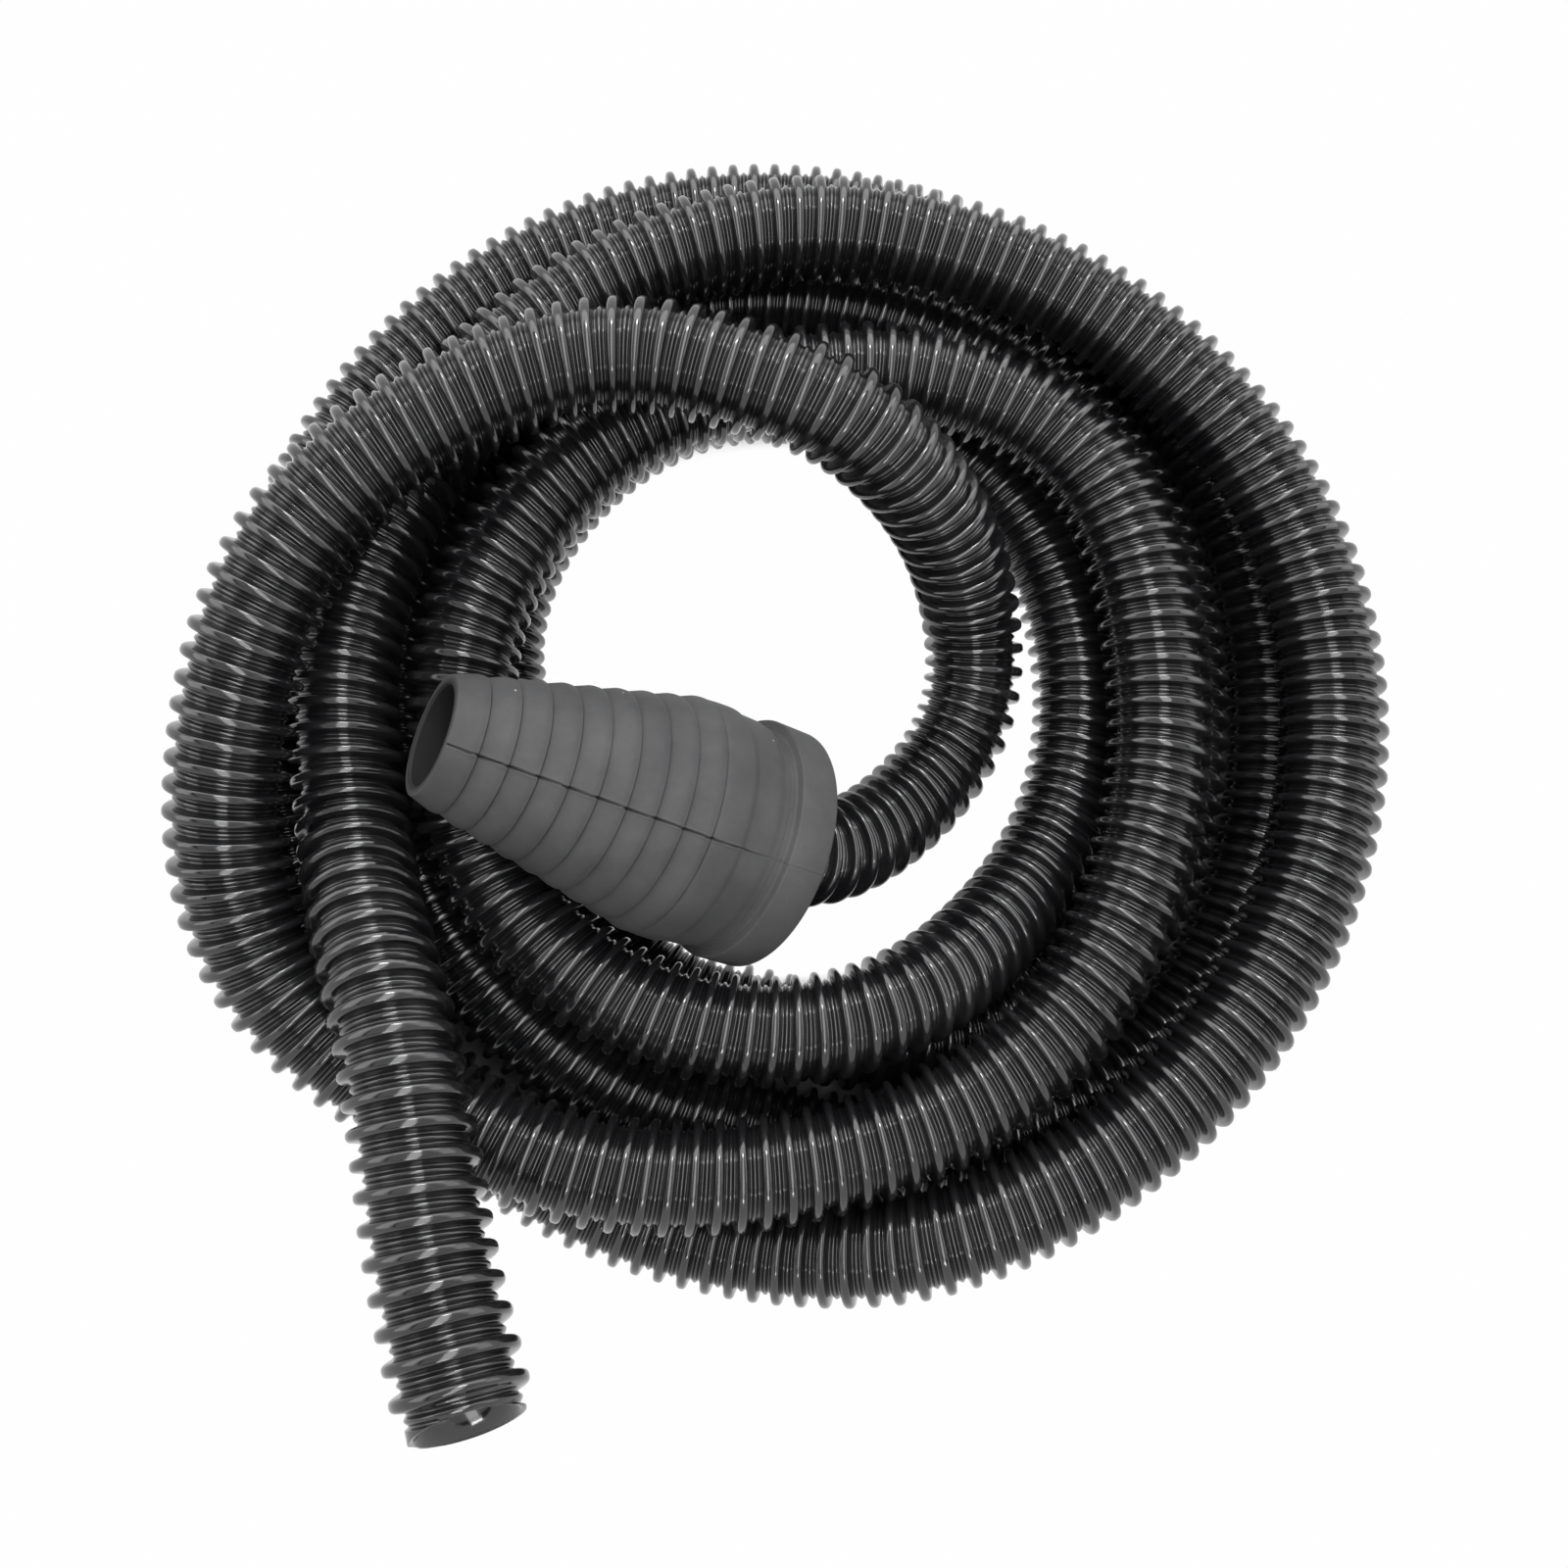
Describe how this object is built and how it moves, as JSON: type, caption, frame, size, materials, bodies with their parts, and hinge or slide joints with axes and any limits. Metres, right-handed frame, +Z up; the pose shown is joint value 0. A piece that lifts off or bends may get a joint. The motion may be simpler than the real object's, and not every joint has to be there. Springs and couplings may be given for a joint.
{
  "type": "vacuum hose",
  "caption": "Black ribbed suction hose lying in a flat coil, with a stepped conical rubber adapter on its inner end and a plain cut outer end.",
  "frame": {"origin": "on the floor plane, under the middle of the coiled part's bounding box", "axes": "+Z up from the floor, across the flat coil; +X to the right and +Y away from the loose end's side, as in the picture"},
  "size_m": [0.4298, 0.4596, 0.1349],
  "materials": {
    "hose_plastic": "glossy black",
    "adapter_rubber": "matte dark grey"
  },
  "bodies": {
    "hose": {"hose": "hose_plastic"},
    "adapter": {"cone_adapter": "adapter_rubber"}
  },
  "joints": [
    {"name": "adapter_twist", "type": "hinge", "parent": "hose", "child": "adapter", "pos_m": [-0.12004, -0.02343, 0.1036], "axis": [0.8553, -0.2311, -0.4637], "continuous": true}
  ]
}
